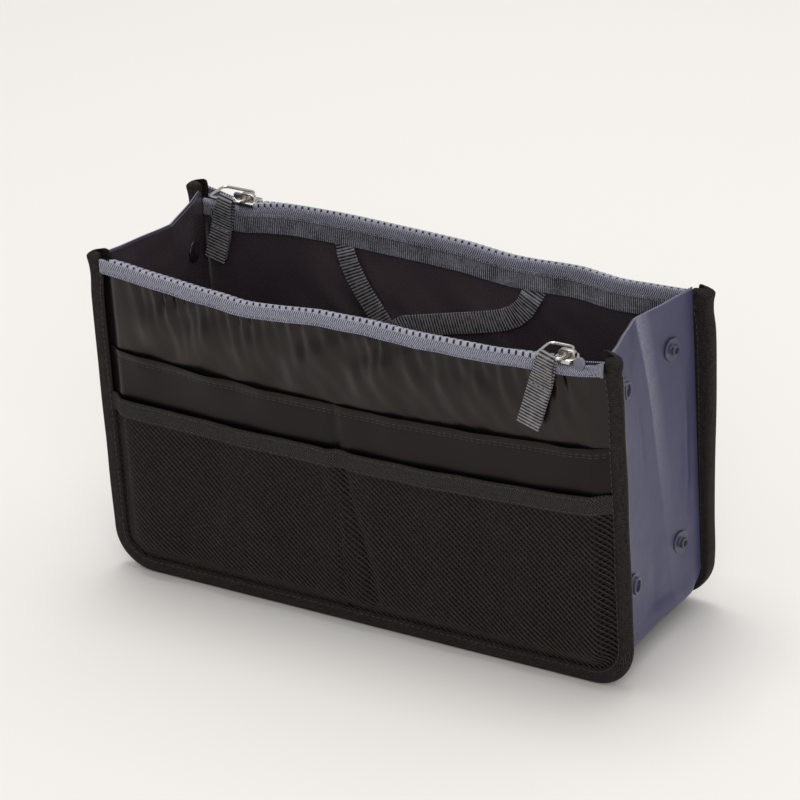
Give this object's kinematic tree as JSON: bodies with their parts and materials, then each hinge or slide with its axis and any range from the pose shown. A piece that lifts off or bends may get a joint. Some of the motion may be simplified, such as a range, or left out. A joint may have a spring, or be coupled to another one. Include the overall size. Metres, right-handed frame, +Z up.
{
  "type": "purse organizer insert",
  "caption": "Soft folding organizer insert for a handbag: two padded zip panels joined by creased side and bottom gussets with snaps, mesh and slip pockets, and webbing handles.",
  "frame": {"origin": "on the floor, midway between the two panels and midway along them, with the organizer standing open", "axes": "+Z up, +X to the right along the long side seen from the front, +Y from the front mesh-pocket panel towards the back panel"},
  "size_m": [0.29, 0.1044, 0.1695],
  "materials": {
    "satin_nylon": "black padded nylon with a satin sheen",
    "pocket_nylon": "black nylon, slightly lighter than the padded wall",
    "net": "black knitted mesh",
    "binding_tape": "black herringbone tape",
    "zip_tape": "woven slate grey tape with moulded teeth",
    "band_tape": "speckled dark grey stitched band",
    "webbing": "cross-ribbed black webbing with pale ribs",
    "lining": "smooth black-purple lining",
    "gusset_nylon": "slate blue coated nylon",
    "snap_plastic": "slate moulded plastic",
    "steel": "bright nickel plate"
  },
  "bodies": {
    "back_panel": {"back_binding": "binding_tape", "back_outer_wall": "satin_nylon", "back_inner_wall": "lining", "back_inner_pocket": "lining", "back_zip_outer_tape": "zip_tape", "back_zip_inner_tape": "zip_tape", "back_zip_band": "band_tape", "back_lower_pocket": "pocket_nylon", "left_corner": "gusset_nylon", "right_corner": "gusset_nylon"},
    "right_gusset_rear": {"right_gusset_rear": "gusset_nylon", "right_gusset_rear_lining": "lining", "right_gusset_rear_lower_stud": "snap_plastic", "right_gusset_rear_upper_stud": "snap_plastic", "right_gusset_rear_lower_cap": "snap_plastic", "right_gusset_rear_upper_cap": "snap_plastic"},
    "right_gusset_front": {"right_gusset_front": "gusset_nylon", "right_gusset_front_lining": "lining", "right_gusset_front_lower_socket": "snap_plastic", "right_gusset_front_upper_socket": "snap_plastic", "right_gusset_front_lower_cap": "snap_plastic", "right_gusset_front_upper_cap": "snap_plastic"},
    "left_gusset_rear": {"left_gusset_rear": "gusset_nylon", "left_gusset_rear_lining": "lining", "left_gusset_rear_lower_stud": "snap_plastic", "left_gusset_rear_upper_stud": "snap_plastic", "left_gusset_rear_lower_cap": "snap_plastic", "left_gusset_rear_upper_cap": "snap_plastic"},
    "left_gusset_front": {"left_gusset_front": "gusset_nylon", "left_gusset_front_lining": "lining", "left_gusset_front_lower_socket": "snap_plastic", "left_gusset_front_upper_socket": "snap_plastic", "left_gusset_front_lower_cap": "snap_plastic", "left_gusset_front_upper_cap": "snap_plastic"},
    "bottom_rear": {"bottom_rear": "gusset_nylon", "bottom_rear_lining": "lining"},
    "bottom_front": {"bottom_front": "gusset_nylon", "bottom_front_lining": "lining"},
    "front_panel": {"front_binding": "binding_tape", "front_outer_wall": "satin_nylon", "front_inner_wall": "lining", "front_inner_pocket": "lining", "front_zip_outer_tape": "zip_tape", "front_zip_inner_tape": "zip_tape", "front_zip_band": "band_tape", "front_slip_pocket": "pocket_nylon", "front_mesh_pocket": "net", "front_mesh_hem": "binding_tape"},
    "front_slider": {"front_slider": "steel"},
    "front_pull_ring": {"front_pull_ring": "steel"},
    "front_pull_tab": {"front_pull_tab": "webbing"},
    "back_slider": {"back_slider": "steel"},
    "back_pull_ring": {"back_pull_ring": "steel"},
    "back_pull_tab": {"back_pull_tab": "webbing"},
    "front_handle": {"front_handle": "webbing"},
    "back_handle": {"back_handle": "webbing"}
  },
  "joints": [
    {"name": "right_gusset_rear_hinge", "type": "hinge", "parent": "back_panel", "child": "right_gusset_rear", "pos_m": [0.136, 0.03756, 0.09], "axis": [0, 0, -1], "range_deg": [0, 66]},
    {"name": "right_gusset_crease", "type": "hinge", "parent": "right_gusset_rear", "child": "right_gusset_front", "pos_m": [0.12802, 0, 0.09], "axis": [0, 0, 1], "range_deg": [0, 132]},
    {"name": "panel_fold", "type": "hinge", "parent": "right_gusset_front", "child": "front_panel", "pos_m": [0.136, -0.03756, 0.09], "axis": [0, 0, -1], "range_deg": [0, 66], "deforming": ["left_corner", "right_corner", "back_pull_tab"]},
    {"name": "left_gusset_rear_hinge", "type": "hinge", "parent": "back_panel", "child": "left_gusset_rear", "pos_m": [-0.136, 0.03756, 0.09], "axis": [0, 0, 1], "range_deg": [0, 66]},
    {"name": "left_gusset_crease", "type": "hinge", "parent": "left_gusset_rear", "child": "left_gusset_front", "pos_m": [-0.12802, 0, 0.09], "axis": [0, 0, -1], "range_deg": [0, 132]},
    {"name": "bottom_rear_hinge", "type": "hinge", "parent": "back_panel", "child": "bottom_rear", "pos_m": [0, 0.03756, 0.009], "axis": [-1, 0, 0], "range_deg": [0, 66]},
    {"name": "bottom_crease", "type": "hinge", "parent": "bottom_rear", "child": "bottom_front", "pos_m": [0, 0, 0.01698], "axis": [1, 0, 0], "range_deg": [0, 132]},
    {"name": "front_zip_slide", "type": "slide", "parent": "front_panel", "child": "front_slider", "axis": [-1, 0, 0], "range_m": [0, 0.225], "deforming": ["front_zip_outer_tape", "front_zip_inner_tape"]},
    {"name": "front_ring_hinge", "type": "hinge", "parent": "front_slider", "child": "front_pull_ring", "pos_m": [0.117, -0.04366, 0.1672], "axis": [0, 1, 0], "range_deg": [0, 150]},
    {"name": "front_tab_hinge", "type": "hinge", "parent": "front_pull_ring", "child": "front_pull_tab", "pos_m": [0.10775, -0.05066, 0.1672], "axis": [-1, 0, 0], "range_deg": [0, 150]},
    {"name": "back_zip_slide", "type": "slide", "parent": "back_panel", "child": "back_slider", "axis": [1, 0, 0], "range_m": [0, 0.22], "deforming": ["back_zip_outer_tape", "back_zip_inner_tape"]},
    {"name": "back_ring_hinge", "type": "hinge", "parent": "back_slider", "child": "back_pull_ring", "pos_m": [-0.111, 0.04366, 0.1672], "axis": [0, 1, 0], "range_deg": [0, 150]},
    {"name": "back_tab_hinge", "type": "hinge", "parent": "back_pull_ring", "child": "back_pull_tab", "pos_m": [-0.12025, 0.03666, 0.1672], "axis": [-1, 0, 0], "range_deg": [0, 150]},
    {"name": "front_handle_hinge", "type": "hinge", "parent": "front_panel", "child": "front_handle", "pos_m": [0, -0.03726, 0.1464], "axis": [1, 0, 0], "range_deg": [0, 180]},
    {"name": "back_handle_hinge", "type": "hinge", "parent": "back_panel", "child": "back_handle", "pos_m": [0, 0.03726, 0.1464], "axis": [-1, 0, 0], "range_deg": [0, 180]}
  ],
  "couplings": [
    {"joint": "right_gusset_rear_hinge", "follows": "panel_fold", "ratio": 1},
    {"joint": "right_gusset_crease", "follows": "panel_fold", "ratio": 2},
    {"joint": "left_gusset_rear_hinge", "follows": "panel_fold", "ratio": 1},
    {"joint": "left_gusset_crease", "follows": "panel_fold", "ratio": 2},
    {"joint": "bottom_rear_hinge", "follows": "panel_fold", "ratio": 1},
    {"joint": "bottom_crease", "follows": "panel_fold", "ratio": 2}
  ]
}
